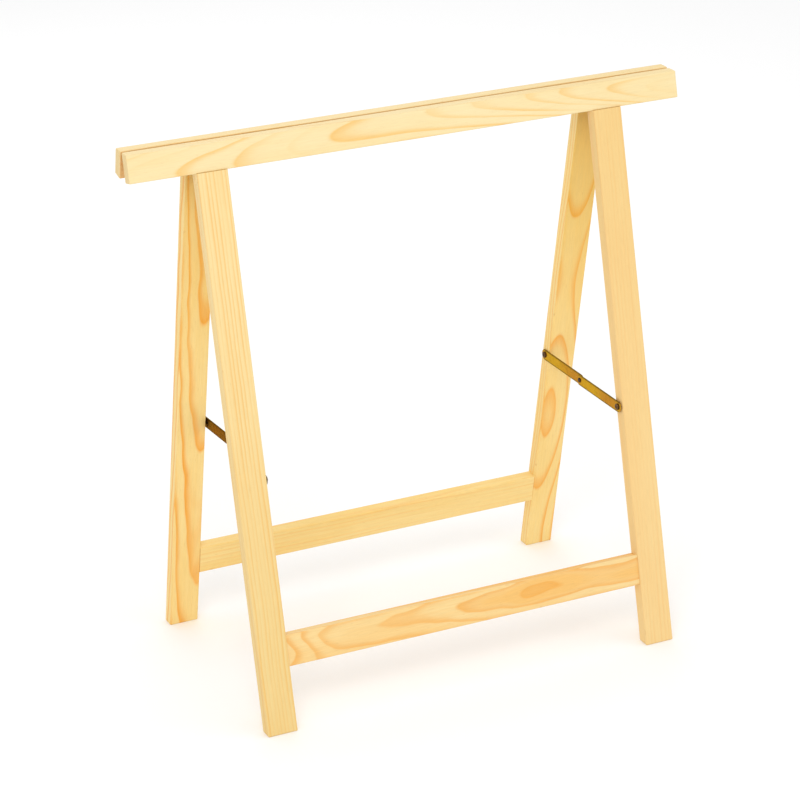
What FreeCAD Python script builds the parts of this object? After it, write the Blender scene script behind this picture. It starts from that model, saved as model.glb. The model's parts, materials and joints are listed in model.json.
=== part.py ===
import FreeCAD, Part
import math
import os
import Sketcher

# Folding sawhorse: two flat pine frames hinged under the tops of their rails and held open by two folding stays.
# X runs along the rails, Y from the front frame to the back one, Z up from the floor the feet stand on.

document = FreeCAD.newDocument("FoldingSawhorse")
V = FreeCAD.Vector

# ---------------------------------------------------------------- driving sizes (millimetres, degrees)

SIZES = (
    ("overall_height", 750.0),      # floor to the level tops of the rails
    ("half_splay", 12.54),          # tilt of each frame from upright when open
    ("rail_length", 775.0),
    ("rail_height", 39.0),          # down the inner face
    ("rail_thick", 16.5),
    ("rail_gap", 4.2),              # between the inner top edges of the two rails
    ("leg_width", 41.0),
    ("leg_thick", 19.0),
    ("leg_inset", 88.0),            # rail end to the outer side of a leg
    ("stretcher_height", 42.0),
    ("stretcher_thick", 16.5),
    ("stretcher_rise", 82.0),       # up the inner face of a leg, foot to underside of the stretcher
    ("arris", 1.5),                 # rounding of the wooden edges
    ("dowel_radius", 4.0),
    ("dowel_length", 30.0),
    ("dowel_spacing", 20.0),
    ("hinge_offset", 190.0),        # middle of the trestle to the middle of a hinge
    ("hinge_length", 62.0),
    ("leaf_height", 24.0),          # hinge axis to the lower edge of a leaf
    ("leaf_thick", 1.5),
    ("barrel_radius", 3.4),
    ("barrel_clearance", 0.35),     # barrel to the inner face of each rail
    ("knuckle_gap", 0.3),
    ("hinge_pin_radius", 2.1),
    ("hinge_pin_round", 0.5),
    ("pin_clearance", 0.05),        # radial, wherever a moving hole turns on a pin
    ("hinge_screw_radius", 1.7),
    ("hinge_screw_head", 3.2),      # radius of the countersunk head
    ("hinge_screw_length", 13.0),   # in the wood
    ("hinge_screw_spacing", 23.0),
    ("hinge_screw_drop", 14.5),     # hinge axis to the row of screws
    ("stay_height", 324.0),         # floor to the stay pivots
    ("right_bow", 0.0),             # how far each link of an open stay tilts up towards the middle rivet
    ("left_bow", 3.5),
    ("link_width", 15.5),
    ("link_thick", 1.5),
    ("link_round", 0.4),
    ("layer_gap", 0.3),             # between one layer of a stay and the next
    ("spacer_radius", 5.0),
    ("pivot_radius", 2.0),          # shank of the pivot screws and of the middle rivets
    ("pivot_depth", 22.0),          # pivot screw in the leg
    ("pivot_head_radius", 4.5),
    ("pivot_head_height", 1.6),
    ("pivot_head_round", 1.1),
    ("recess_length", 4.6),         # across the cross recess of a pivot screw
    ("recess_width", 1.0),
    ("recess_depth", 0.8),
    ("rivet_head_radius", 3.5),
    ("rivet_head_height", 1.4),
    ("rivet_head_round", 1.1),
    ("rivet_tail_radius", 3.2),
    ("rivet_tail_height", 0.25),
)
KNUCKLES = 5                        # front leaf takes the odd ones, back leaf the even ones
HINGE_SCREWS = 3                    # in each leaf
TIP_TAPER = 1.5                     # screw points: length over radius
THROUGH = 4                         # a hole's two-way pocket over the thickness of its plate
SAME_PLACE = 0.01                   # slack when an edge is picked by its place

sizes = document.addObject("Spreadsheet::Sheet", "Sizes")
for row, (word, amount) in enumerate(SIZES, start=1):
    sizes.set(f"A{row}", word)
    sizes.set(f"B{row}", str(amount))
    sizes.setAlias(f"B{row}", word)
document.recompute()

# ---------------------------------------------------------------- places worked out from the driving sizes

SIN = "sin(Sizes.half_splay)"
COS = "cos(Sizes.half_splay)"
# In a frame's own axes the origin is the inner top edge of its rail: X along the rail, Y out through the
# frame's thickness, Z up its slope.
RAIL_FOOT = "-Sizes.rail_height"
LEG_FOOT_INNER = f"-Sizes.overall_height / {COS}"
LEG_FOOT_OUTER = f"-(Sizes.overall_height + Sizes.leg_thick * {SIN}) / {COS}"
RAIL_TOP_OUTER = f"-Sizes.rail_thick * {SIN} / {COS}"
LEG_INNER_SIDE = "(Sizes.rail_length / 2 - Sizes.leg_inset - Sizes.leg_width)"
LEG_MIDDLE = f"({LEG_INNER_SIDE} + Sizes.leg_width / 2)"
STRETCHER_FOOT = f"({LEG_FOOT_INNER} + Sizes.stretcher_rise)"
STRETCHER_MIDDLE = f"({STRETCHER_FOOT} + Sizes.stretcher_height / 2)"
# The hinge axis lies midway between the rails, far enough down for its barrel to clear both inner faces.
AXIS_OUT = "-(Sizes.barrel_radius + Sizes.barrel_clearance)"
AXIS_DROP = f"((Sizes.barrel_radius + Sizes.barrel_clearance - Sizes.rail_gap / 2 * {COS}) / {SIN})"
AXIS_UP = f"(Sizes.rail_gap / 2 * {SIN} - {AXIS_DROP} * {COS})"
KNUCKLE_PITCH = f"(Sizes.hinge_length + Sizes.knuckle_gap) / {KNUCKLES}"
SCREW_ROW = f"({AXIS_UP} - Sizes.hinge_screw_drop)"
# A stay's pivots sit in the middle of the legs' thickness, level with each other when the trestle is open.
PIVOT_OUT = "Sizes.leg_thick / 2"
PIVOT_DOWN = f"((Sizes.overall_height - Sizes.stay_height + {PIVOT_OUT} * {SIN}) / {COS})"
STAY_REACH = f"(Sizes.rail_gap / 2 + {PIVOT_DOWN} * {SIN} + {PIVOT_OUT} * {COS})"
# In a stay's own axes Z leaves the legs' inner sides, X runs along the stay and Y is up.
OUTER_LAYER = "Sizes.layer_gap"
INNER_LAYER = f"({OUTER_LAYER} + Sizes.link_thick + Sizes.layer_gap)"

HALF_TURN = "placement(vector(0; 0; 0); rotation(vector(0; 0; 1); 180))"
BACK_FRAME = (
    "placement(vector(0; Sizes.rail_gap / 2; Sizes.overall_height);"
    " rotation(vector(1; 0; 0); Sizes.half_splay))"
)
FRONT_FRAME = f"{HALF_TURN} * {BACK_FRAME}"
RIGHT_STAY = (
    f"placement(vector({LEG_INNER_SIDE}; 0; Sizes.stay_height);"
    " rotation(vector(0; 0; 1); -90) * rotation(vector(1; 0; 0); 90))"
)
LEFT_STAY = f"{HALF_TURN} * {RIGHT_STAY}"

nodes = []


def number(expression):
    """Plain value of an expression over the sheet."""
    return float(sizes.evalExpression(expression))


# ---------------------------------------------------------------- modelling helpers

def new_body(label, placement):
    """Empty body of a sub-part, standing in its frame's or stay's axes."""
    body = document.addObject("PartDesign::Body", label)
    body.Label = label
    body.setExpression("Placement", placement)
    nodes.append(body)
    return body


def new_sketch(body, name, plane, offset=("0", "0", "0")):
    """Sketch on one of the body's origin planes, shifted in the sketch's own axes."""
    sketch = body.newObject("Sketcher::SketchObject", name)
    planes = [feature for feature in body.Origin.OriginFeatures if feature.Role == plane]
    sketch.AttachmentSupport = (planes[0], [""])
    sketch.MapMode = "FlatFace"
    for axis, shift in zip("xyz", offset):
        sketch.setExpression(f"AttachmentOffset.Base.{axis}", shift)
    return sketch


def tie_point(sketch, element, end, x, y):
    """Hold a point of the sketch at a place measured from the sketch's origin."""
    for kind, expression in (("DistanceX", x), ("DistanceY", y)):
        rule = sketch.addConstraint(Sketcher.Constraint(kind, -1, 1, element, end, number(expression)))
        sketch.setExpression(f"Constraints[{rule}]", expression)


def add_outline(sketch, corners):
    """Closed outline of straight lines; each corner is a pair of expressions."""
    places = [V(number(x), number(y), 0) for x, y in corners]
    lines = []
    for start, end in zip(places, places[1:] + places[:1]):
        lines.append(sketch.addGeometry(Part.LineSegment(start, end), False))
    for line, following in zip(lines, lines[1:] + lines[:1]):
        sketch.addConstraint(Sketcher.Constraint("Coincident", line, 2, following, 1))
    for line, (x, y) in zip(lines, corners):
        tie_point(sketch, line, 1, x, y)


def add_rectangle(sketch, left, right, low, high):
    """Upright rectangle between four expressions."""
    add_outline(sketch, ((left, low), (right, low), (right, high), (left, high)))


def add_circle(sketch, x, y, radius):
    """Circle at a place given by expressions."""
    circle = Part.Circle(V(number(x), number(y), 0), V(0, 0, 1), number(radius))
    element = sketch.addGeometry(circle, False)
    tie_point(sketch, element, 3, x, y)
    rule = sketch.addConstraint(Sketcher.Constraint("Radius", element, number(radius)))
    sketch.setExpression(f"Constraints[{rule}]", radius)


def grow(body, sketch, length, kind="PartDesign::Pad", both_ways=True):
    """Pad or pocket of a sketch; both_ways shares the length equally on the two sides."""
    feature = body.newObject(kind, f"{sketch.Name}_{kind.split('::')[1]}")
    feature.Profile = sketch
    feature.SideType = "Symmetric" if both_ways else "One side"
    feature.setExpression("Length", length)
    document.recompute()
    return feature


def cut(body, sketch, length):
    """Pocket running equally both ways from its sketch, checked for having removed something."""
    before = body.Shape.Volume
    grow(body, sketch, length, "PartDesign::Pocket")
    if not body.Shape.Volume < before:
        raise RuntimeError(f"{body.Label}: {sketch.Name} cuts nothing")


def round_edges(body, radius, wanted):
    """Fillet every edge of the tip that the test accepts."""
    tip = body.Tip
    picked = [f"Edge{index}" for index, edge in enumerate(tip.Shape.Edges, start=1) if wanted(edge)]
    if not picked:
        raise RuntimeError(f"{body.Label}: no edge to round")
    fillet = body.newObject("PartDesign::Fillet", f"{body.Name}_Rounding")
    fillet.Base = (tip, picked)
    fillet.setExpression("Radius", radius)
    document.recompute()


def runs_along(edge, axis):
    """Whether a straight edge is parallel to an axis."""
    if edge.Curve.TypeId != "Part::GeomLine":
        return False
    return abs(edge.Curve.Direction.dot(axis)) > 0.999


# ---------------------------------------------------------------- wooden pieces of one frame

def drill_joints(body, side, member):
    """Dowel bores that a leg shares with its rail and its stretcher."""
    spots = ("-Sizes.dowel_spacing / 2", "Sizes.dowel_spacing / 2")
    if member in ("leg", "rail"):
        holes = new_sketch(body, f"{body.Name}_RailDowels{side}", "XY_Plane", ("0", "0", RAIL_FOOT))
        for spot in spots:
            add_circle(holes, f"{side} * {LEG_MIDDLE} + {spot}", "Sizes.rail_thick / 2", "Sizes.dowel_radius")
        cut(body, holes, "Sizes.dowel_length")
    if member in ("leg", "stretcher"):
        place = ("0", "0", f"{side} * {LEG_INNER_SIDE}")
        holes = new_sketch(body, f"{body.Name}_StretcherDowels{side}", "YZ_Plane", place)
        for spot in spots:
            add_circle(holes, "Sizes.stretcher_thick / 2", f"{STRETCHER_MIDDLE} + {spot}", "Sizes.dowel_radius")
        cut(body, holes, "Sizes.dowel_length")


def hinge_screw_places(side):
    """Middles of the screws of one leaf, as pairs of expressions along the rail and up the frame."""
    middle = (HINGE_SCREWS - 1) / 2
    return [
        (f"{side} * Sizes.hinge_offset + {step - middle} * Sizes.hinge_screw_spacing", SCREW_ROW)
        for step in range(HINGE_SCREWS)
    ]


def make_rail(label, placement):
    """Top rail: inner face square, top planed level for the open position."""
    body = new_body(label, placement)
    section = new_sketch(body, f"{label}_Section", "YZ_Plane")
    add_outline(section, (
        ("0", "0"),
        ("0", RAIL_FOOT),
        ("Sizes.rail_thick", RAIL_FOOT),
        ("Sizes.rail_thick", RAIL_TOP_OUTER),
    ))
    grow(body, section, "Sizes.rail_length")
    round_edges(body, "Sizes.arris", lambda edge: True)
    for side in (-1, 1):
        drill_joints(body, side, "rail")
    screws = new_sketch(body, f"{label}_HingeScrews", "XZ_Plane")
    for side in (-1, 1):
        for x, z in hinge_screw_places(side):
            add_circle(screws, x, z, "Sizes.hinge_screw_radius")
    cut(body, screws, "2 * Sizes.hinge_screw_length")


def make_leg(label, placement, side):
    """Leg: butts under the rail, its foot cut parallel to the floor."""
    body = new_body(label, placement)
    section = new_sketch(body, f"{label}_Section", "YZ_Plane", ("0", "0", f"{side} * {LEG_MIDDLE}"))
    add_outline(section, (
        ("0", RAIL_FOOT),
        ("0", LEG_FOOT_INNER),
        ("Sizes.leg_thick", LEG_FOOT_OUTER),
        ("Sizes.leg_thick", RAIL_FOOT),
    ))
    grow(body, section, "Sizes.leg_width")
    top = number(RAIL_FOOT)
    round_edges(body, "Sizes.arris", lambda edge: edge.CenterOfMass.z < top - 1)
    drill_joints(body, side, "leg")
    pivot = new_sketch(body, f"{label}_Pivot", "YZ_Plane", ("0", "0", f"{side} * {LEG_INNER_SIDE}"))
    add_circle(pivot, PIVOT_OUT, f"-{PIVOT_DOWN}", "Sizes.pivot_radius")
    cut(body, pivot, "2 * Sizes.pivot_depth")


def make_stretcher(label, placement):
    """Stretcher between the legs near their feet."""
    body = new_body(label, placement)
    section = new_sketch(body, f"{label}_Section", "YZ_Plane")
    add_rectangle(section, "0", "Sizes.stretcher_thick",
                  STRETCHER_FOOT, f"{STRETCHER_FOOT} + Sizes.stretcher_height")
    grow(body, section, f"2 * {LEG_INNER_SIDE}")
    round_edges(body, "Sizes.arris", lambda edge: runs_along(edge, V(1, 0, 0)))
    for side in (-1, 1):
        drill_joints(body, side, "stretcher")


def make_rail_dowels(label, placement):
    """Upright dowels between the rail and both legs."""
    body = new_body(label, placement)
    ends = new_sketch(body, f"{label}_Ends", "XY_Plane", ("0", "0", RAIL_FOOT))
    for side in (-1, 1):
        for spot in ("-Sizes.dowel_spacing / 2", "Sizes.dowel_spacing / 2"):
            add_circle(ends, f"{side} * {LEG_MIDDLE} + {spot}", "Sizes.rail_thick / 2", "Sizes.dowel_radius")
    grow(body, ends, "Sizes.dowel_length")


def make_stretcher_dowels(label, placement):
    """Level dowels between the stretcher and both legs."""
    body = new_body(label, placement)
    for side in (-1, 1):
        place = ("0", "0", f"{side} * {LEG_INNER_SIDE}")
        ends = new_sketch(body, f"{label}_Ends{side}", "YZ_Plane", place)
        for spot in ("-Sizes.dowel_spacing / 2", "Sizes.dowel_spacing / 2"):
            add_circle(ends, "Sizes.stretcher_thick / 2", f"{STRETCHER_MIDDLE} + {spot}", "Sizes.dowel_radius")
        grow(body, ends, "Sizes.dowel_length")


# ---------------------------------------------------------------- hinges between the rails

def knuckle_places(side, own):
    """Start of each knuckle along the rail: own is 0 for the odd-numbered ones, 1 for the others."""
    start = f"{side} * Sizes.hinge_offset - Sizes.hinge_length / 2"
    return [f"{start} + {step} * {KNUCKLE_PITCH}" for step in range(own, KNUCKLES, 2)]


def make_leaf(label, placement, side, own, bore):
    """Hinge leaf on the inner face of a rail, notched for the knuckles of the other leaf."""
    body = new_body(label, placement)
    middle = f"{side} * Sizes.hinge_offset"
    # The plate grows from the rail's inner face into the gap between the rails.
    plate = new_sketch(body, f"{label}_Plate", "XZ_Plane")
    add_rectangle(plate, f"{middle} - Sizes.hinge_length / 2", f"{middle} + Sizes.hinge_length / 2",
                  f"{AXIS_UP} - Sizes.leaf_height", AXIS_UP)
    grow(body, plate, "Sizes.leaf_thick", both_ways=False)
    notches = new_sketch(body, f"{label}_Notches", "XZ_Plane")
    for start in knuckle_places(side, 1 - own):
        add_rectangle(notches, f"{start} - Sizes.knuckle_gap", f"{start} + {KNUCKLE_PITCH}",
                      f"{AXIS_UP} - Sizes.barrel_radius - Sizes.knuckle_gap", f"{AXIS_UP} + Sizes.barrel_radius")
    cut(body, notches, f"{THROUGH} * Sizes.leaf_thick")
    for index, start in enumerate(knuckle_places(side, own)):
        knuckle = new_sketch(body, f"{label}_Knuckle{index}", "YZ_Plane", ("0", "0", start))
        add_circle(knuckle, AXIS_OUT, AXIS_UP, "Sizes.barrel_radius")
        grow(body, knuckle, f"{KNUCKLE_PITCH} - Sizes.knuckle_gap", both_ways=False)
    eye = new_sketch(body, f"{label}_Eye", "YZ_Plane", ("0", "0", middle))
    add_circle(eye, AXIS_OUT, AXIS_UP, bore)
    cut(body, eye, "2 * Sizes.hinge_length")
    for index, (x, z) in enumerate(hinge_screw_places(side)):
        sink = body.newObject("PartDesign::SubtractiveCone", f"{label}_Sink{index}")
        sink.setExpression("Radius1", "Sizes.hinge_screw_head")
        sink.setExpression("Radius2", "Sizes.hinge_screw_radius")
        sink.setExpression("Height", "Sizes.leaf_thick")
        sink.setExpression(
            "Placement",
            f"placement(vector({x}; -Sizes.leaf_thick; {z}); rotation(vector(1; 0; 0); -90))",
        )
        document.recompute()


def make_hinge_screws(label, placement):
    """Countersunk screws of both leaves on one rail."""
    body = new_body(label, placement)
    tip = f"{TIP_TAPER} * Sizes.hinge_screw_radius"
    for side in (-1, 1):
        for index, (x, z) in enumerate(hinge_screw_places(side)):
            # Half section in the level plane through the screw, turned about its own upright axis.
            half = new_sketch(body, f"{label}_Half{side}_{index}", "XY_Plane", (x, "0", z))
            add_outline(half, (
                ("0", "-Sizes.leaf_thick"),
                ("Sizes.hinge_screw_head", "-Sizes.leaf_thick"),
                ("Sizes.hinge_screw_radius", "0"),
                ("Sizes.hinge_screw_radius", f"Sizes.hinge_screw_length - {tip}"),
                ("0", "Sizes.hinge_screw_length"),
            ))
            spin(body, half)


def spin(body, sketch):
    """Full revolution of a half section about its sketch's upright axis."""
    feature = body.newObject("PartDesign::Revolution", f"{sketch.Name}_Spin")
    feature.Profile = sketch
    feature.ReferenceAxis = (sketch, ["V_Axis"])
    feature.Angle = 360
    document.recompute()
    return feature


def make_hinge_pin(label, placement, side):
    """Pin through all the knuckles, tight in the front leaf."""
    body = new_body(label, placement)
    end = new_sketch(body, f"{label}_End", "YZ_Plane", ("0", "0", f"{side} * Sizes.hinge_offset"))
    add_circle(end, AXIS_OUT, AXIS_UP, "Sizes.hinge_pin_radius")
    grow(body, end, "Sizes.hinge_length")
    round_edges(body, "Sizes.hinge_pin_round", lambda edge: edge.Curve.TypeId == "Part::GeomCircle")


# ---------------------------------------------------------------- folding stays

def make_link(label, placement, reach, layer, bow):
    """Flat link with round ends from a leg's pivot to the middle rivet: reach is 1 or -1 along the stay."""
    turned = (
        f"{placement} * placement(vector({reach} * {STAY_REACH}; 0; 0);"
        f" rotation(vector(0; 0; 1); {-reach} * {bow}))"
    )
    body = new_body(label, turned)
    half = "Sizes.link_width / 2"
    rivet = f"{-reach} * {STAY_REACH} / cos({bow})"
    sketch = new_sketch(body, f"{label}_Outline", "XY_Plane", ("0", "0", layer))
    left, right = sorted(("0", rivet), key=number)
    radius = number(half)
    quarter = math.pi / 2
    arcs = []
    for middle, start in ((left, quarter), (right, -quarter)):
        circle = Part.Circle(V(number(middle), 0, 0), V(0, 0, 1), radius)
        arcs.append(sketch.addGeometry(Part.ArcOfCircle(circle, start, start + math.pi), False))
    for start, end, height in ((left, right, -radius), (right, left, radius)):
        line = Part.LineSegment(V(number(start), height, 0), V(number(end), height, 0))
        arcs.append(sketch.addGeometry(line, False))
    first, second, low, high = arcs
    for before, after in ((first, low), (low, second), (second, high), (high, first)):
        sketch.addConstraint(Sketcher.Constraint("Tangent", before, 2, after, 1))
    tie_point(sketch, first, 3, left, "0")
    tie_point(sketch, second, 3, right, "0")
    rule = sketch.addConstraint(Sketcher.Constraint("Radius", first, radius))
    sketch.setExpression(f"Constraints[{rule}]", half)
    grow(body, sketch, "Sizes.link_thick", both_ways=False)
    round_edges(body, "Sizes.link_round", lambda edge: True)
    holes = new_sketch(body, f"{label}_Holes", "XY_Plane", ("0", "0", layer))
    add_circle(holes, rivet, "0", "Sizes.pivot_radius")
    add_circle(holes, "0", "0", "Sizes.pivot_radius + Sizes.pin_clearance")
    cut(body, holes, f"{THROUGH} * Sizes.link_thick")


def make_spacer(label, placement):
    """Thick washer that holds the inner link off its leg."""
    body = new_body(label, placement)
    ring = new_sketch(body, f"{label}_Ring", "XY_Plane")
    add_circle(ring, STAY_REACH, "0", "Sizes.spacer_radius")
    add_circle(ring, STAY_REACH, "0", "Sizes.pivot_radius")
    grow(body, ring, f"{INNER_LAYER} - Sizes.layer_gap", both_ways=False)


def make_pivot_screw(label, placement, reach, layer):
    """Pan-head screw in a leg, with a plain neck that a link turns on."""
    body = new_body(label, placement)
    under_head = f"({layer} + Sizes.link_thick + Sizes.layer_gap)"
    over_head = f"({under_head} + Sizes.pivot_head_height)"
    tip = f"{TIP_TAPER} * Sizes.pivot_radius"
    middle = f"{reach} * {STAY_REACH}"
    half = new_sketch(body, f"{label}_Half", "XZ_Plane", (middle, "0", "0"))
    add_outline(half, (
        ("0", "-Sizes.pivot_depth"),
        ("Sizes.pivot_radius", f"-Sizes.pivot_depth + {tip}"),
        ("Sizes.pivot_radius", under_head),
        ("Sizes.pivot_head_radius", under_head),
        ("Sizes.pivot_head_radius", over_head),
        ("0", over_head),
    ))
    spin(body, half)
    crown = number(over_head)
    round_edges(body, "Sizes.pivot_head_round", lambda edge: edge.BoundBox.ZMin > crown - SAME_PLACE)
    arm = "Sizes.recess_length / 2"
    flank = "Sizes.recess_width / 2"
    cross = new_sketch(body, f"{label}_Cross", "XY_Plane", (middle, "0", over_head))
    add_outline(cross, (
        (flank, flank), (flank, arm), (f"-{flank}", arm), (f"-{flank}", flank),
        (f"-{arm}", flank), (f"-{arm}", f"-{flank}"), (f"-{flank}", f"-{flank}"), (f"-{flank}", f"-{arm}"),
        (flank, f"-{arm}"), (flank, f"-{flank}"), (arm, f"-{flank}"), (arm, flank),
    ))
    cut(body, cross, "2 * Sizes.recess_depth")


def rivet_place(placement, bow):
    """Stay's axes lifted to its middle rivet."""
    return f"{placement} * placement(vector(0; {STAY_REACH} * tan({bow}); 0); rotation(vector(0; 0; 1); 0))"


def make_rivet_head(label, placement, bow):
    """Domed half of the middle rivet, fixed in the inner link."""
    body = new_body(label, rivet_place(placement, bow))
    neck = f"({INNER_LAYER} + Sizes.link_thick)"
    crown = f"({neck} + Sizes.rivet_head_height)"
    half = new_sketch(body, f"{label}_Half", "XZ_Plane")
    add_outline(half, (
        ("0", INNER_LAYER),
        ("Sizes.pivot_radius", INNER_LAYER),
        ("Sizes.pivot_radius", neck),
        ("Sizes.rivet_head_radius", neck),
        ("Sizes.rivet_head_radius", crown),
        ("0", crown),
    ))
    spin(body, half)
    top = number(crown)
    round_edges(body, "Sizes.rivet_head_round", lambda edge: edge.BoundBox.ZMin > top - SAME_PLACE)


def make_rivet_tail(label, placement, bow):
    """Flat half of the middle rivet, fixed in the outer link."""
    body = new_body(label, rivet_place(placement, bow))
    face = f"({OUTER_LAYER} + Sizes.link_thick)"
    half = new_sketch(body, f"{label}_Half", "XZ_Plane")
    add_outline(half, (
        ("0", f"{OUTER_LAYER} - Sizes.rivet_tail_height"),
        ("Sizes.rivet_tail_radius", f"{OUTER_LAYER} - Sizes.rivet_tail_height"),
        ("Sizes.rivet_tail_radius", OUTER_LAYER),
        ("Sizes.pivot_radius", OUTER_LAYER),
        ("Sizes.pivot_radius", face),
        ("0", face),
    ))
    spin(body, half)


# ---------------------------------------------------------------- assembly

# The front frame is the back frame's design turned half round, so its left is the back frame's right.
for frame, placement, turned in (("back", BACK_FRAME, 1), ("front", FRONT_FRAME, -1)):
    make_rail(f"{frame}_rail", placement)
    for hand, side in (("left", -turned), ("right", turned)):
        make_leg(f"{frame}_{hand}_leg", placement, side)
    make_stretcher(f"{frame}_stretcher", placement)
    make_rail_dowels(f"{frame}_rail_dowels", placement)
    make_stretcher_dowels(f"{frame}_stretcher_dowels", placement)
    make_hinge_screws(f"{frame}_hinge_screws", placement)

for hand, side in (("left", -1), ("right", 1)):
    make_leaf(f"{hand}_hinge_back_leaf", BACK_FRAME, side, 1,
              "Sizes.hinge_pin_radius + Sizes.pin_clearance")
    make_leaf(f"{hand}_hinge_front_leaf", FRONT_FRAME, -side, 0, "Sizes.hinge_pin_radius")
    make_hinge_pin(f"{hand}_hinge_pin", FRONT_FRAME, -side)

# Each stay has one link next to its leg and one a layer further in; half a turn swaps them over.
for hand, placement, bow, inner_leg, outer_leg in (
    ("right", RIGHT_STAY, "Sizes.right_bow", "front", "back"),
    ("left", LEFT_STAY, "Sizes.left_bow", "back", "front"),
):
    for leg, reach, layer in ((inner_leg, 1, INNER_LAYER), (outer_leg, -1, OUTER_LAYER)):
        make_link(f"{hand}_stay_{leg}_link", placement, reach, layer, bow)
        make_pivot_screw(f"{hand}_stay_{leg}_screw", placement, reach, layer)
    make_spacer(f"{hand}_stay_{inner_leg}_spacer", placement)
    make_rivet_head(f"{hand}_stay_rivet_head", placement, bow)
    make_rivet_tail(f"{hand}_stay_rivet_tail", placement, bow)

# ---------------------------------------------------------------- checks and export

document.recompute()
for item in document.Objects:
    if "Invalid" in item.State or "Error" in item.State:
        raise RuntimeError(f"{item.Name} failed: {item.State}")
for body in nodes:
    if body.Shape.isNull() or not body.Shape.isValid():
        raise RuntimeError(f"{body.Label} has no sound shape")

os.makedirs("parts", exist_ok=True)
for body in nodes:
    body.Shape.exportStep(f"parts/{body.Label}.step")
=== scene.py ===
import json
import math
from collections import namedtuple

import bpy
from mathutils import Matrix, Vector


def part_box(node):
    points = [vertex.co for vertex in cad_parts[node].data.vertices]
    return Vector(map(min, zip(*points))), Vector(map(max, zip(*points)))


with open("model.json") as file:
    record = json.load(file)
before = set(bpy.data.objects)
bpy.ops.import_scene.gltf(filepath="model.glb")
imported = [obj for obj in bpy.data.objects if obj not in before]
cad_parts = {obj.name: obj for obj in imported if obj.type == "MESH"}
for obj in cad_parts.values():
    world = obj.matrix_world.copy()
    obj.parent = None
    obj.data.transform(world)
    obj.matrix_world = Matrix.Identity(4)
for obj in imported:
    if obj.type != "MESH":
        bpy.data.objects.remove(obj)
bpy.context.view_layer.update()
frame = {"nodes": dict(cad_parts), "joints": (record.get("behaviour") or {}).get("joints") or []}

# Looks for the folding sawhorse: planed pine boards, yellow-plated stays, dark screws and zinc hinges.
# Lengths are metres in the sawhorse's own axes: X along the rails, Y front to back, Z up.

nodes = frame["nodes"]
joints = {joint["name"]: joint for joint in frame["joints"]}
HALF_SPLAY = math.radians(joints["fold"]["range_deg"][1]) / 2
FULL_TURN = 2 * math.pi


# ---------------------------------------------------------------- node helpers

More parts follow.
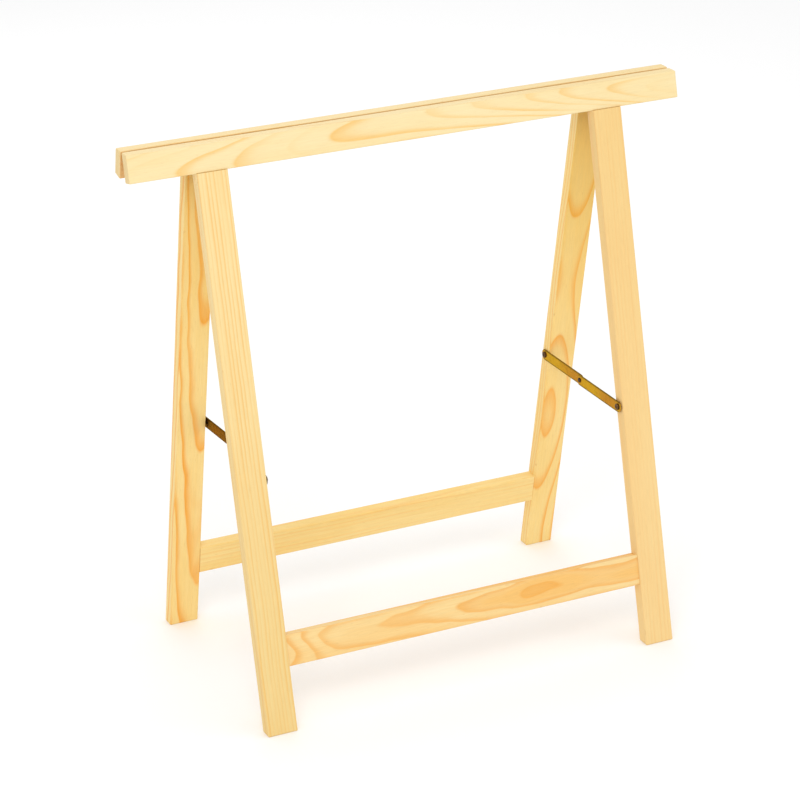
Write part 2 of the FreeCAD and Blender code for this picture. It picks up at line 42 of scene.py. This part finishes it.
class Wiring:
    """Adds nodes to a material's or a group's tree. A value is a number, a tuple or a node's output."""

    def __init__(self, tree):
        self.tree = tree

    def put(self, socket, value):
        """Join an output to a socket, or set the socket's own value."""
        if isinstance(value, bpy.types.NodeSocket):
            self.tree.links.new(value, socket)
        else:
            socket.default_value = value

    def add(self, kind, settings=None, **inputs):
        """Node with its settings and its inputs, named with underscores for spaces."""
        node = self.tree.nodes.new(kind)
        for name, value in (settings or {}).items():
            setattr(node, name, value)
        for name, value in inputs.items():
            self.put(node.inputs[name.replace("_", " ")], value)
        return node

    def math(self, operation, *values):
        """Result of a math operation on numbers."""
        node = self.add("ShaderNodeMath", {"operation": operation})
        for socket, value in zip(node.inputs, values):
            self.put(socket, value)
        return node.outputs[0]

    def plus(self, first, second):
        return self.math("ADD", first, second)

    def minus(self, first, second):
        return self.math("SUBTRACT", first, second)

    def times(self, first, second):
        return self.math("MULTIPLY", first, second)

    def vector(self, operation, *values):
        """Result of a vector operation: a number for a dot product or a length, otherwise a vector."""
        node = self.add("ShaderNodeVectorMath", {"operation": operation})
        for socket, value in zip(node.inputs, values):
            self.put(socket, value)
        return node.outputs["Value" if operation in ("DOT_PRODUCT", "LENGTH") else "Vector"]

    def scaled(self, vector, amount):
        """Vector times a number."""
        node = self.add("ShaderNodeVectorMath", {"operation": "SCALE"}, Vector=vector, Scale=amount)
        return node.outputs["Vector"]

    def parts(self, vector):
        """The three numbers of a vector."""
        return self.add("ShaderNodeSeparateXYZ", Vector=vector).outputs

    def join(self, x, y, z):
        """Vector of three numbers."""
        return self.add("ShaderNodeCombineXYZ", X=x, Y=y, Z=z).outputs[0]

    def noise_node(self, place, scale, detail, roughness, seed):
        """The noise texture that noise and drift use."""
        return self.add("ShaderNodeTexNoise", {"noise_dimensions": "4D"}, Vector=place, W=seed, Scale=scale,
                        Detail=detail, Roughness=roughness)

    def noise(self, place, scale=1.0, detail=2.0, roughness=0.5, seed=0.0):
        """Soft noise from 0 to 1 over a place; the scale is steps per unit of the place."""
        return self.noise_node(place, scale, detail, roughness, seed).outputs["Fac"]

    def drift(self, place, scale, detail, roughness, seed):
        """Soft noise as a vector, from -0.5 to 0.5 each way."""
        noise = self.noise_node(place, scale, detail, roughness, seed).outputs["Color"]
        return self.vector("SUBTRACT", noise, (0.5, 0.5, 0.5))

    def streaks(self, place, along, across, **settings):
        """Noise drawn out along X of a place: steps per metre along X and across it."""
        return self.noise(self.vector("MULTIPLY", place, (along, across, across)), **settings)

    def between(self, value, low, high, start=0.0, end=1.0):
        """Value moved smoothly from one span to another and held at its ends."""
        node = self.add("ShaderNodeMapRange", {"interpolation_type": "SMOOTHSTEP"}, Value=value,
                        From_Min=low, From_Max=high, To_Min=start, To_Max=end)
        return node.outputs[0]

    def ramp(self, value, stops):
        """Grey curve through (place, level) stops."""
        node = self.add("ShaderNodeValToRGB", Fac=value)
        elements = node.color_ramp.elements
        while len(elements) < len(stops):
            elements.new(0.5)
        for element, (place, level) in zip(elements, stops):
            element.position = place
            element.color = (level, level, level, 1)
        return node.outputs[0]

    def mix(self, factor, first, second, blend="MIX"):
        """Colour mix; the Mix node's colour sockets share their names with others, so they go by number."""
        node = self.add("ShaderNodeMix", {"data_type": "RGBA", "blend_type": blend})
        for index, value in ((0, factor), (6, first), (7, second)):
            self.put(node.inputs[index], value)
        return node.outputs[2]

    def tint(self, colour, shade, mask, strength):
        """Colour moved towards a shade where a mask is 1, as far as strength says."""
        return self.mix(self.times(mask, strength), colour, shade)


def new_group(name, inputs, outputs):
    """Empty shader node group with named sockets; returns its wiring, its inputs and its output node."""
    tree = bpy.data.node_groups.new(name, "ShaderNodeTree")
    for direction, sockets in (("INPUT", inputs), ("OUTPUT", outputs)):
        for label, kind in sockets:
            tree.interface.new_socket(name=label, in_out=direction, socket_type=f"NodeSocket{kind}")
    wiring = Wiring(tree)
    given = tree.nodes.new("NodeGroupInput").outputs
    result = tree.nodes.new("NodeGroupOutput").inputs
    return wiring, given, result


def use_group(wiring, group, **inputs):
    """Place a group in a tree, with inputs named with underscores for spaces; returns its outputs."""
    return wiring.add("ShaderNodeGroup", {"node_tree": group}, **inputs).outputs


def new_material(name, roughness=0.5, metallic=0.0):
    """Material with a Principled shader; returns it, its wiring and the shader."""
    material = bpy.data.materials.new(name)
    material.use_nodes = True
    material.node_tree.nodes.clear()
    wiring = Wiring(material.node_tree)
    shader = wiring.add("ShaderNodeBsdfPrincipled", Roughness=roughness, Metallic=metallic)
    wiring.add("ShaderNodeOutputMaterial", Surface=shader.outputs[0])
    return material, wiring, shader


def add_relief(wiring, shader, height, strength, distance):
    """Fine relief of a surface: distance is how deep a height of 1 stands."""
    bump = wiring.add("ShaderNodeBump", Strength=strength, Distance=distance, Height=height)
    wiring.put(shader.inputs["Normal"], bump.outputs[0])


def dress(names, material):
    """Give CAD nodes a material."""
    for name in names:
        data = nodes[name].data
        data.materials.clear()
        data.materials.append(material)


def named(*endings):
    """CAD nodes whose names end in one of these."""
    return sorted(name for name in nodes if name.endswith(endings))


# ---------------------------------------------------------------- shared effects

# One ring from its soft early wood to its hard late wood, as (share of the ring, darkness).
RING_PROFILE = ((0.0, 0.10), (0.22, 0.0), (0.48, 0.20), (0.74, 0.82), (0.90, 1.0), (1.0, 0.10))
PITH_BENDS = 4.5                    # bends of the pith line per metre
KNOT_SHAPE = (0.42, 1.0, 0.6)       # a knot reaches furthest along the grain
KNOT_FALL = 0.55                    # how fast its push on the rings dies away
KNOT_PUSH = 1.3
UNEVEN_SPACING = 0.7                # changes of ring width per ring
FADINGS = 4.5                       # of a ring, per metre of board
FADE_STEP = 7.3                     # keeps the fading of one ring apart from the next one's
ARRIS_ROUNDING = 0.001              # how softly the wear of two faces meets on their edge
ARRIS_REACH = (0.0006, 0.0042)      # from the edge, where its wear starts to fade and where it ends


def growth_rings():
    """Rings of a pine log around its pith line, as a solid through the board.

    Place is measured from the middle of the board: X along the grain, Y across the face, Z through it.
    The pith line runs at Pith, leans by Lean and swells to and fro by Swell, once in each Swell Length.
    Narrowing thins the dark lines. Unevenness spaces them irregularly and lets each fade in places.
    """
    w, given, result = new_group("growth_rings", (
        ("Place", "Vector"), ("Pith", "Vector"), ("Lean", "Vector"), ("Swell", "Vector"),
        ("Swell Length", "Float"), ("Swell Centre", "Float"), ("Ring Width", "Float"), ("Wander", "Float"),
        ("Ripple", "Float"), ("Narrowing", "Float"), ("Unevenness", "Float"), ("Knot", "Vector"),
        ("Knot Size", "Float"), ("Seed", "Float"),
    ), (("Late Wood", "Float"), ("Radius", "Float")))
    place, seed = given["Place"], given["Seed"]
    along = w.parts(place)[0]

    turns = w.math("DIVIDE", w.minus(along, given["Swell Centre"]), given["Swell Length"])
    swing = w.math("COSINE", w.times(turns, FULL_TURN))
    pith = w.vector("ADD", given["Pith"], w.scaled(given["Lean"], along))
    pith = w.vector("ADD", pith, w.scaled(given["Swell"], swing))
    drift = w.drift(w.join(along, 0.0, 0.0), scale=PITH_BENDS, detail=1.0, roughness=0.45, seed=seed)
    pith = w.vector("ADD", pith, w.scaled(drift, given["Wander"]))
    away = w.vector("SUBTRACT", place, pith)
    radius = w.vector("LENGTH", w.vector("MULTIPLY", away, (0.0, 1.0, 1.0)))

    # The grain flows round a knot.
    spread = w.vector("MULTIPLY", w.vector("SUBTRACT", place, given["Knot"]), KNOT_SHAPE)
    reach = w.math("DIVIDE", w.vector("LENGTH", spread), w.math("MAXIMUM", given["Knot Size"], 1e-6))
    bulge = w.math("EXPONENT", w.times(w.times(reach, reach), -KNOT_FALL))
    radius = w.plus(radius, w.times(w.times(bulge, given["Knot Size"]), KNOT_PUSH))

    waves = w.streaks(place, 13.0, 32.0, detail=1.5, seed=seed)
    radius = w.plus(radius, w.times(w.minus(waves, 0.5), given["Ripple"]))
    w.put(result["Radius"], radius)

    count = w.math("DIVIDE", radius, given["Ring Width"])
    spacing = w.noise(w.join(count, 0.0, 0.0), scale=UNEVEN_SPACING, detail=0.0, seed=seed)
    count = w.plus(count, w.times(w.minus(spacing, 0.5), given["Unevenness"]))
    band = w.ramp(w.math("FRACT", count), RING_PROFILE)
    ring = w.times(w.math("FLOOR", count), FADE_STEP)
    fading = w.noise(w.join(w.times(along, FADINGS), ring, 0.0), detail=1.0, seed=seed)
    kept = w.minus(1.0, w.times(w.between(fading, 0.36, 0.62), given["Unevenness"]))
    w.put(result["Late Wood"], w.times(w.math("POWER", band, given["Narrowing"]), kept))
    return w.tree


def wood_fibres():
    """Fine streaks, resin lines and slow patches along the grain of any board."""
    w, given, result = new_group("wood_fibres", (("Place", "Vector"), ("Seed", "Float")), (
        ("Streak", "Float"), ("Fibre", "Float"), ("Resin", "Float"), ("Patch", "Float")))
    place, seed = given["Place"], given["Seed"]
    w.put(result["Streak"], w.streaks(place, 7.0, 380.0, detail=3.0, roughness=0.6, seed=seed))
    w.put(result["Fibre"], w.streaks(place, 60.0, 2600.0, seed=seed))
    w.put(result["Resin"], w.between(w.streaks(place, 130.0, 1500.0, detail=0.0, seed=seed), 0.74, 0.82))
    w.put(result["Patch"], w.streaks(place, 5.0, 22.0, seed=seed))
    return w.tree


def arris_wear():
    """Handled edges of a board: 1 on a long arris, fading onto the faces, broken up along its length."""
    w, given, result = new_group("arris_wear", (
        ("Place", "Vector"), ("Half Width", "Float"), ("Half Thickness", "Float"), ("Seed", "Float"),
    ), (("Wear", "Float"), ("Dent", "Float")))
    place, seed = given["Place"], given["Seed"]
    across, through = w.parts(place)[1:]
    over_width = w.minus(given["Half Width"], w.math("ABSOLUTE", across))
    over_thickness = w.minus(given["Half Thickness"], w.math("ABSOLUTE", through))
    inside = w.math("SMOOTH_MAX", over_width, over_thickness, ARRIS_ROUNDING)
    rubbed = w.between(inside, *ARRIS_REACH, 1.0, 0.0)
    broken = w.between(w.streaks(place, 28.0, 40.0, detail=3.0, seed=seed), 0.40, 0.62)
    w.put(result["Wear"], w.times(rubbed, broken))
    knocks = w.between(w.streaks(place, 90.0, 120.0, detail=1.0, seed=seed), 0.66, 0.78)
    w.put(result["Dent"], w.times(rubbed, knocks))
    return w.tree


def metal_handling():
    """Brushed lines, handling smears and pin scratches of a metal part, brushed along X of its place."""
    w, given, result = new_group("metal_handling", (("Place", "Vector"), ("Seed", "Float")), (
        ("Brush", "Float"), ("Smear", "Float"), ("Scratch", "Float")))
    place, seed = given["Place"], given["Seed"]
    w.put(result["Brush"], w.streaks(place, 60.0, 5200.0, seed=seed))
    w.put(result["Smear"], w.noise(place, scale=140.0, detail=4.0, roughness=0.6, seed=seed))
    lines = w.streaks(place, 90.0, 1400.0, detail=1.0, seed=w.plus(seed, 3.0))
    w.put(result["Scratch"], w.between(lines, 0.70, 0.76))
    return w.tree


GROWTH_RINGS = growth_rings()
WOOD_FIBRES = wood_fibres()
ARRIS_WEAR = arris_wear()
METAL_HANDLING = metal_handling()


# ---------------------------------------------------------------- pine boards

# A board and the log that it was sawn from. Places are measured from the board's middle: along the grain,
# across its face and out through it.
#   section: width and thickness; contrast: how dark the late wood shows; seed: which chance pattern
#   pith, lean, swell, swell_length, swell_centre: the line of the log's centre, as in growth_rings
#   ring: width of a year's growth; wander, ripple: how far the pith line and the rings stray
#   narrow, uneven: thinness and irregularity of the dark lines
#   heart: how far from the pith the warm heart reaches, or 0 for none
#   knot, knot_size: where a knot lies and how large it is
#   stain: where the darkening of one end starts, where it is full and how strong it is
#   shelter: how strong the painted shade on a leg's inner face is at the top
Board = namedtuple(
    "Board", "node section tone contrast seed pith lean ring wander ripple narrow uneven heart "
             "swell swell_length swell_centre knot knot_size stain shelter",
    defaults=(0.0, (0, 0, 0), 1.0, 0.0, (0, 0, 0), 0.0, (0, 1, 0), 0.25))
Tone = namedtuple("Tone", "early late warm end")

IVORY = Tone((0.84, 0.69, 0.385, 1), (0.82, 0.47, 0.110, 1), (0.82, 0.60, 0.25, 1), (0.62, 0.38, 0.14, 1))
STRAW = Tone((0.84, 0.66, 0.320, 1), (0.80, 0.42, 0.090, 1), (0.82, 0.55, 0.20, 1), (0.60, 0.36, 0.13, 1))
PEACH = Tone((0.83, 0.60, 0.260, 1), (0.79, 0.42, 0.110, 1), (0.81, 0.50, 0.18, 1), (0.60, 0.35, 0.13, 1))
HONEY = Tone((0.88, 0.67, 0.280, 1), (0.84, 0.32, 0.006, 1), (0.85, 0.52, 0.10, 1), (0.58, 0.30, 0.08, 1))
AMBER = Tone((0.84, 0.63, 0.290, 1), (0.80, 0.36, 0.045, 1), (0.83, 0.47, 0.12, 1), (0.58, 0.31, 0.09, 1))
# Painted shade for the faces in the gap between the rails.
GAP_SHADE_WOOD = (0.62, 0.27, 0.030, 1)
# The deeper gold that one end of some boards darkens towards, also used as the painted shade on the legs'
# inner faces.
DEEP_GOLD_WOOD = (0.62, 0.36, 0.008, 1)

RAIL_SECTION = (0.039, 0.0165)
LEG_SECTION = (0.041, 0.019)
STRETCHER_SECTION = (0.042, 0.0165)

HEART_EDGE = 0.003                  # over which the warm heart fades out
INNER_SHADE_SPAN = (-0.05, 0.36)      # up a leg, where the painted shade on its inner face starts and where it is darkest
PLANER_PITCH = 0.0021               # between the ripples that the planer leaves
SAW_MARKS = (900.0, 260.0, 2200.0)  # steps per metre over an end
LEG_SHADE_DEPTH = (0.0004, 0.0014)         # depth at which the painted shade on a leg's inner face fades out
GAP_SHADE_DEPTH = (0.0002, 0.0012)         # and that of the painted shade in the gap between the rails

BOARDS = (
    Board("front_rail", RAIL_SECTION, IVORY, contrast=0.90, seed=1.0, pith=(0, 0, -0.0318),
          lean=(0, 0, 0.070), ring=0.0052, wander=0.012, ripple=0.0020, narrow=2.4, uneven=0.85,
          swell=(0, 0.018, 0), swell_length=1.0, swell_centre=0.12),
    Board("back_rail", RAIL_SECTION, IVORY, contrast=0.60, seed=2.0, pith=(0, -0.020, -0.035),
          lean=(0, 0.006, -0.012), ring=0.0052, wander=0.010, ripple=0.0020, narrow=2.0, uneven=0.60),
    Board("front_left_leg", LEG_SECTION, STRAW, contrast=0.75, seed=3.0, pith=(0, 0.125, 0.050),
          lean=(0, 0.006, 0.004), ring=0.0050, wander=0.010, ripple=0.0020, narrow=1.3, uneven=0.70,
          stain=(0.30, -0.36, 0.25)),
    Board("front_right_leg", LEG_SECTION, PEACH, contrast=0.38, seed=4.0, pith=(0, -0.150, 0.070),
          lean=(0, -0.006, 0.004), ring=0.0050, wander=0.010, ripple=0.0020, narrow=1.3, uneven=0.85,
          stain=(-0.15, 0.36, 0.12)),
    Board("back_left_leg", LEG_SECTION, HONEY, contrast=1.00, seed=5.0, pith=(0, 0.016, 0.0315),
          lean=(0, 0.004, -0.045), ring=0.0076, wander=0.016, ripple=0.0080, narrow=2.0, uneven=0.30),
    Board("back_right_leg", LEG_SECTION, HONEY, contrast=0.95, seed=6.0, pith=(0, -0.008, 0.0440),
          lean=(0, 0.020, 0.004), ring=0.0062, wander=0.003, ripple=0.0016, narrow=4.0, uneven=0.20,
          swell=(0, 0, -0.0058), swell_length=0.43, swell_centre=-0.122, shelter=0.54),
    Board("front_stretcher", STRETCHER_SECTION, AMBER, contrast=0.85, seed=7.0, pith=(0, 0.004, -0.0211),
          lean=(0, -0.006, 0.004), ring=0.0060, wander=0.012, ripple=0.0100, narrow=1.3, uneven=0.40,
          heart=0.0290, swell=(0, 0, 0.0060), swell_length=0.72, swell_centre=0.15,
          knot=(-0.285, 0, 0.008), knot_size=0.019),
    Board("back_stretcher", STRETCHER_SECTION, HONEY, contrast=0.28, seed=8.0, pith=(0, 0.100, 0.060),
          lean=(0, 0.006, 0.004), ring=0.0055, wander=0.010, ripple=0.0025, narrow=1.5, uneven=0.80),
)


def board_axes(board):
    """Turn of a board's own axes: X along its grain, Z out of its frame."""
    side = -1 if board.node.startswith("front") else 1
    outward = Vector((0, side * math.cos(HALF_SPLAY), math.sin(HALF_SPLAY)))
    upward = Vector((0, -side * math.sin(HALF_SPLAY), math.cos(HALF_SPLAY)))
    along = upward if board.node.endswith("leg") else Vector((1, 0, 0))
    across = outward.cross(along)
    return Matrix((along, across, outward)).transposed()


def pine_colour(w, board, place, end, rings, fibres, wear):
    """Colour of a pine board from its rings, fibres, ends, a darkened end and handled edges, with painted
    shade on the legs' inner faces and in the gap between the rails.
    """
    tone = board.tone
    along, _, out = w.parts(place)
    above_inner_face = w.plus(out, board.section[1] / 2)

    colour = w.tint(tone.early, tone.warm, w.between(fibres["Patch"], 0.35, 0.70), 0.35)
    if board.heart:
        heart = w.between(rings["Radius"], board.heart - HEART_EDGE, board.heart, 1.0, 0.0)
        colour = w.tint(colour, tone.warm, heart, 0.85)
    colour = w.tint(colour, tone.late, rings["Late Wood"], board.contrast)

    # One end of some boards darkens towards a deeper gold.
    darkening_start, darkening_full, stain = board.stain
    colour = w.tint(colour, DEEP_GOLD_WOOD, w.between(along, darkening_start, darkening_full), stain)
    if board.node.endswith("leg"):
        # Painted shade: the inner faces, sheltered where the frames meet, are darkened to a deeper gold
        # towards the top.
        painted_inner_shade = w.times(w.between(above_inner_face, *LEG_SHADE_DEPTH, 1.0, 0.0),
                            w.between(along, *INNER_SHADE_SPAN))
        colour = w.tint(colour, DEEP_GOLD_WOOD, painted_inner_shade, board.shelter)

    colour = w.tint(colour, tone.warm, w.between(fibres["Streak"], 0.30, 0.72), 0.22)
    fine = w.between(fibres["Fibre"], 0.2, 0.8, 0.94, 1.05)
    colour = w.mix(1.0, colour, w.join(fine, fine, fine), "MULTIPLY")
    colour = w.tint(colour, tone.end, fibres["Resin"], 0.30)
    colour = w.tint(colour, tone.end, end, 0.22)
    if board.node.endswith("rail"):
        # Painted shade: the faces in the gap between the rails are darkened to a deep orange.
        colour = w.tint(colour, GAP_SHADE_WOOD, w.between(above_inner_face, *GAP_SHADE_DEPTH, 1.0, 0.0), 0.65)
    colour = w.tint(colour, tone.warm, wear["Wear"], 0.25)
    return w.tint(colour, tone.end, wear["Dent"], 0.35)


def pine_roughness(w, end, rings, wear):
    """Late wood and handled edges are smoother than early wood, and the sawn ends rougher."""
    rough = w.minus(0.62, w.times(rings["Late Wood"], 0.16))
    rough = w.plus(rough, w.times(end, 0.18))
    return w.minus(rough, w.times(wear["Wear"], 0.12))


def pine_height(w, board, place, end, rings, fibres, wear):
    """Hard late wood stands a little proud, the planer leaves a faint ripple and the ends keep saw marks."""
    ripple = w.math("SINE", w.times(w.parts(place)[0], FULL_TURN / PLANER_PITCH))
    sawn = w.noise(w.vector("MULTIPLY", place, SAW_MARKS), seed=board.seed)
    height = w.plus(w.times(rings["Late Wood"], 0.30), w.times(fibres["Fibre"], 0.35))
    height = w.plus(height, w.times(ripple, 0.035))
    height = w.minus(height, w.times(wear["Dent"], 1.4))
    height = w.minus(height, w.times(fibres["Resin"], 0.4))
    return w.plus(height, w.times(w.times(end, sawn), 1.2))


def pine(board):
    """Planed pine with growth rings through the whole board, fibres, end grain and handled edges."""
    material, w, shader = new_material(f"pine_{board.node}")
    axes = board_axes(board)
    low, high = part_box(board.node)
    coordinates = w.add("ShaderNodeTexCoord")
    place = w.add("ShaderNodeMapping", {"vector_type": "TEXTURE"}, Vector=coordinates.outputs["Object"],
                  Location=(low + high) / 2, Rotation=axes.to_euler()).outputs[0]
    facing = w.math("ABSOLUTE", w.vector("DOT_PRODUCT", coordinates.outputs["Normal"], axes.col[0]))
    end = w.between(facing, 0.55, 0.9)
    rings = use_group(w, GROWTH_RINGS, Place=place, Pith=board.pith, Lean=board.lean, Swell=board.swell,
                      Swell_Length=board.swell_length, Swell_Centre=board.swell_centre,
                      Ring_Width=board.ring, Wander=board.wander, Ripple=board.ripple,
                      Narrowing=board.narrow, Unevenness=board.uneven, Knot=board.knot,
                      Knot_Size=board.knot_size, Seed=board.seed)
    fibres = use_group(w, WOOD_FIBRES, Place=place, Seed=board.seed)
    width, thickness = board.section
    wear = use_group(w, ARRIS_WEAR, Place=place, Half_Width=width / 2, Half_Thickness=thickness / 2,
                     Seed=board.seed)
    w.put(shader.inputs["Base Color"], pine_colour(w, board, place, end, rings, fibres, wear))
    w.put(shader.inputs["Roughness"], pine_roughness(w, end, rings, wear))
    height = pine_height(w, board, place, end, rings, fibres, wear)
    add_relief(w, shader, height, strength=0.5, distance=0.0003)
    return material


def dowel_beech():
    """Plain turned beech."""
    material, w, shader = new_material("dowel_beech", roughness=0.6)
    place = w.add("ShaderNodeTexCoord").outputs["Object"]
    fibres = use_group(w, WOOD_FIBRES, Place=place, Seed=11.0)
    colour = w.mix(fibres["Streak"], (0.62, 0.40, 0.20, 1), (0.48, 0.27, 0.12, 1))
    w.put(shader.inputs["Base Color"], colour)
    add_relief(w, shader, fibres["Fibre"], strength=0.3, distance=0.0002)
    return material


# ---------------------------------------------------------------- metal parts

Plating = namedtuple("Plating", "gold copper olive")
YELLOW_PLATING = Plating((0.58, 0.33, 0.030, 1), (0.50, 0.225, 0.035, 1), (0.14, 0.095, 0.020, 1))
# The same yellow plating darkened to brown for the left stay: painted shade and a painted reflection of the
# shaded legs beside it.
SHADED_PLATING = Plating((0.19, 0.125, 0.050, 1), (0.14, 0.075, 0.036, 1), (0.05, 0.030, 0.008, 1))
PLATING_SHEEN = (1.0, 0.78, 0.45, 1)
BARE_SCRATCH = (0.80, 0.60, 0.22, 1)
HIGHLIGHT_BAND_PITCH = 0.107                # from one painted highlight band of a stay to the next, about a link's length
HIGHLIGHT_BAND_PEAK = 0.080                   # Y of one painted highlight band of purest gold; the others are whole pitches away
LINK_EDGE_SHADE = (0.0052, 0.0068)        # from a link's centre line, where its painted edge shade starts and where it is darkest


def yellow_plate(name, hand, plating):
    """Yellow plating of one stay: gold with copper clouds, bands of purer gold that are a painted highlight,
    olive smears, olive edges that are painted shade, and fine bright scratches.
    """
    material, w, shader = new_material(name, metallic=1.0)
    shader.inputs["Specular Tint"].default_value = PLATING_SHEEN
    low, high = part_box(f"{hand}_stay_rivet_head")
    rivet_height = (low.z + high.z) / 2
    _, pivot_y, pivot_z = joints[f"{hand}_front_link_turn"]["pos_m"]
    slope = (rivet_height - pivot_z) / abs(pivot_y)
    x, y, z = w.parts(w.add("ShaderNodeTexCoord").outputs["Object"])
    centre_line = w.minus(rivet_height, w.times(w.math("ABSOLUTE", y), slope))
    up = w.minus(z, centre_line)
    place = w.join(y, up, x)
    handling = use_group(w, METAL_HANDLING, Place=place, Seed=21.0)

    # Painted highlight: bands of purer gold recur about once a link's length along the stay; the clouds are
    # the plating's own shades.
    band = w.math("COSINE", w.times(w.minus(y, HIGHLIGHT_BAND_PEAK), FULL_TURN / HIGHLIGHT_BAND_PITCH))
    cloud = w.streaks(place, 40.0, 60.0, seed=4.0)
    purity_and_highlight = w.plus(w.times(band, 0.30), w.times(cloud, 0.8))
    colour = w.mix(w.between(purity_and_highlight, 0.10, 0.65), plating.copper, plating.gold)
    colour = w.tint(colour, plating.olive, w.between(handling["Smear"], 0.50, 0.7), 0.25)
    # Painted shade: the faces darken to olive towards the links' edges.
    colour = w.tint(colour, plating.olive, w.between(w.math("ABSOLUTE", up), *LINK_EDGE_SHADE), 0.85)
    colour = w.tint(colour, BARE_SCRATCH, handling["Scratch"], 0.5)
    w.put(shader.inputs["Base Color"], colour)
    rough = w.plus(0.12, w.times(handling["Smear"], 0.20))
    w.put(shader.inputs["Roughness"], w.plus(rough, w.times(handling["Brush"], 0.08)))
    relief = w.minus(w.times(handling["Brush"], 0.4), handling["Scratch"])
    add_relief(w, shader, relief, strength=0.25, distance=0.0001)
    return material


# Clean and smeared are a metal's two shades, scratching is how strongly its scratches show, and dulling is
# what smears add to its roughness.
Steel = namedtuple("Steel", "name seed clean smeared scratch scratching roughness dulling")
OILED_SCRATCH = (0.30, 0.22, 0.13, 1)
BRONZED_STEEL = Steel("bronzed_steel", 31.0, (0.12, 0.06, 0.020, 1), (0.22, 0.12, 0.045, 1), OILED_SCRATCH,
                      scratching=0.7, roughness=0.30, dulling=0.25)
DARK_STEEL = Steel("dark_steel", 31.0, (0.055, 0.028, 0.010, 1), (0.13, 0.07, 0.025, 1), OILED_SCRATCH,
                   scratching=0.7, roughness=0.30, dulling=0.25)
ZINC_SCRATCH = (0.80, 0.81, 0.83, 1)
ZINC_PLATE = Steel("zinc_plated_steel", 41.0, (0.62, 0.64, 0.67, 1), (0.42, 0.43, 0.44, 1), ZINC_SCRATCH,
                   scratching=0.5, roughness=0.24, dulling=0.30)


def handled_steel(steel):
    """Brushed steel with smeared patches and fine scratches."""
    material, w, shader = new_material(steel.name, metallic=1.0)
    place = w.add("ShaderNodeTexCoord").outputs["Object"]
    handling = use_group(w, METAL_HANDLING, Place=place, Seed=steel.seed)
    colour = w.mix(w.between(handling["Smear"], 0.4, 0.7), steel.clean, steel.smeared)
    w.put(shader.inputs["Base Color"], w.tint(colour, steel.scratch, handling["Scratch"], steel.scratching))
    w.put(shader.inputs["Roughness"], w.plus(steel.roughness, w.times(handling["Smear"], steel.dulling)))
    add_relief(w, shader, handling["Brush"], strength=0.2, distance=0.0001)
    return material


# ---------------------------------------------------------------- dressing the sawhorse

for board in BOARDS:
    dress([board.node], pine(board))
dress(named("_dowels"), dowel_beech())
stay_plates = named("_link", "_spacer")
dress([name for name in stay_plates if name.startswith("right")],
      yellow_plate("yellow_plated_steel", "right", YELLOW_PLATING))
# The left stay gets the darker copy of the plating, which is painted shade and painted reflection.
dress([name for name in stay_plates if name.startswith("left")],
      yellow_plate("shaded_yellow_plated_steel", "left", SHADED_PLATING))
dress(named("_screw"), handled_steel(BRONZED_STEEL))
dress(named("_rivet_head", "_rivet_tail"), handled_steel(DARK_STEEL))
dress(named("_leaf", "_hinge_pin", "_hinge_screws"), handled_steel(ZINC_PLATE))


# ---------------------------------------------------------------- studio

FLOOR_WIDTH = 30
AIM = (0, 0, 0.4)                   # where the lamps point, near the middle of the sawhorse
SENSOR_WIDTH = 36                   # millimetres, as the lens is
VIEW_DEPTH = 50


def pale_floor():
    """Wide matt floor just under the feet."""
    bpy.ops.mesh.primitive_plane_add(size=FLOOR_WIDTH)
    floor = bpy.context.object
    floor.name = "studio_floor"
    material, _, shader = new_material("studio_floor", roughness=0.9)
    shader.inputs["Base Color"].default_value = (0.95, 0.95, 0.95, 1)
    shader.inputs["Specular IOR Level"].default_value = 0.1
    floor.data.materials.append(material)


def pale_world(strength):
    """Even white surroundings."""
    world = bpy.data.worlds.new("studio")
    world.use_nodes = True
    background = world.node_tree.nodes["Background"]
    background.inputs["Color"].default_value = (1.0, 1.0, 1.0, 1)
    background.inputs["Strength"].default_value = strength
    bpy.context.scene.world = world


def soft_light(name, place, size, power):
    """Large square lamp turned towards the sawhorse."""
    lamp = bpy.data.lights.new(name, "AREA")
    lamp.size = size
    lamp.energy = power
    holder = bpy.data.objects.new(name, lamp)
    holder.location = place
    holder.rotation_euler = (Vector(AIM) - Vector(place)).to_track_quat("-Z", "Y").to_euler()
    bpy.context.scene.collection.objects.link(holder)


def set_camera(stand, heading, dip, tilt, lens):
    """Camera at a place, turned from +Y towards +X by heading, down by dip and about its view by tilt."""
    data = bpy.data.cameras.new("camera")
    data.lens = lens
    data.sensor_width = SENSOR_WIDTH
    data.clip_end = VIEW_DEPTH
    camera = bpy.data.objects.new("camera", data)
    turn = (Matrix.Rotation(-heading, 4, "Z") @ Matrix.Rotation(math.pi / 2 - dip, 4, "X")
            @ Matrix.Rotation(tilt, 4, "Z"))
    camera.matrix_world = Matrix.Translation(stand) @ turn
    bpy.context.scene.collection.objects.link(camera)
    bpy.context.scene.camera = camera


pale_floor()
pale_world(strength=0.92)
soft_light("key", (-1.6, -2.6, 3.0), size=1.8, power=38)
soft_light("fill", (2.6, -1.6, 1.8), size=2.0, power=9)
soft_light("back", (0.5, 2.8, 2.4), size=2.0, power=12)
set_camera((-1.4694, -3.1801, 1.8008), heading=0.4284, dip=0.3940, tilt=-0.0223, lens=127.62)
bpy.context.scene.view_settings.view_transform = "Standard"
